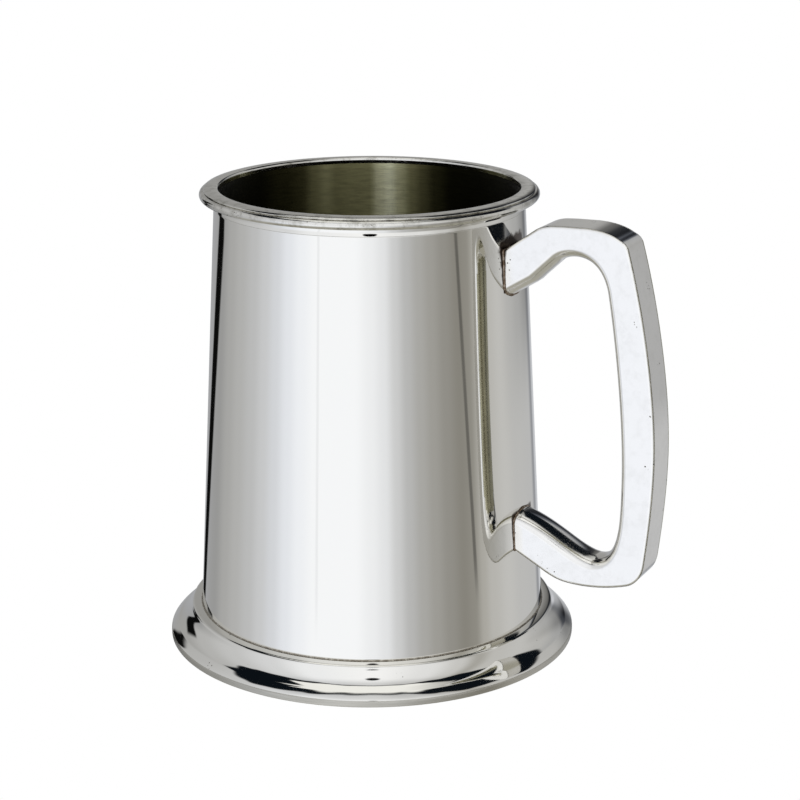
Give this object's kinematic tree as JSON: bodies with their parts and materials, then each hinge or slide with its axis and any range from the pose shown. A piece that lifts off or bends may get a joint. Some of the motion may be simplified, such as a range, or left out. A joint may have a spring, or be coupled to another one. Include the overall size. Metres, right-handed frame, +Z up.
{
  "type": "pewter tankard",
  "caption": "Tapered pewter drinking tankard with a moulded lip, a flared foot and a cast open handle.",
  "frame": {"origin": "on the table, under the middle of the whole width, handle included", "axes": "+X towards the handle, +Z up along the drum's axis, XZ is the plane of symmetry"},
  "size_m": [0.1332, 0.1066, 0.119],
  "materials": {
    "polished_pewter": "mirror-polished spun pewter, faint handling marks; satin inside",
    "rim_pewter": "polished cast pewter with a lightly satined crown and small casting pits",
    "foot_pewter": "polished cast pewter, its outer edge left slightly rough",
    "satin_pewter": "turned satin pewter",
    "cast_pewter": "polished cast pewter with softened edges and fine pits near the joints",
    "soft_solder": "dull tin solder with a brown trace of flux"
  },
  "bodies": {
    "root": {"body_drum": "polished_pewter", "lip_moulding": "rim_pewter", "lip_solder": "soft_solder", "foot_moulding": "foot_pewter", "foot_solder": "soft_solder", "floor_disc": "satin_pewter", "floor_solder": "soft_solder", "handle": "cast_pewter", "upper_root_solder": "soft_solder", "lower_root_solder": "soft_solder"}
  },
  "joints": []
}
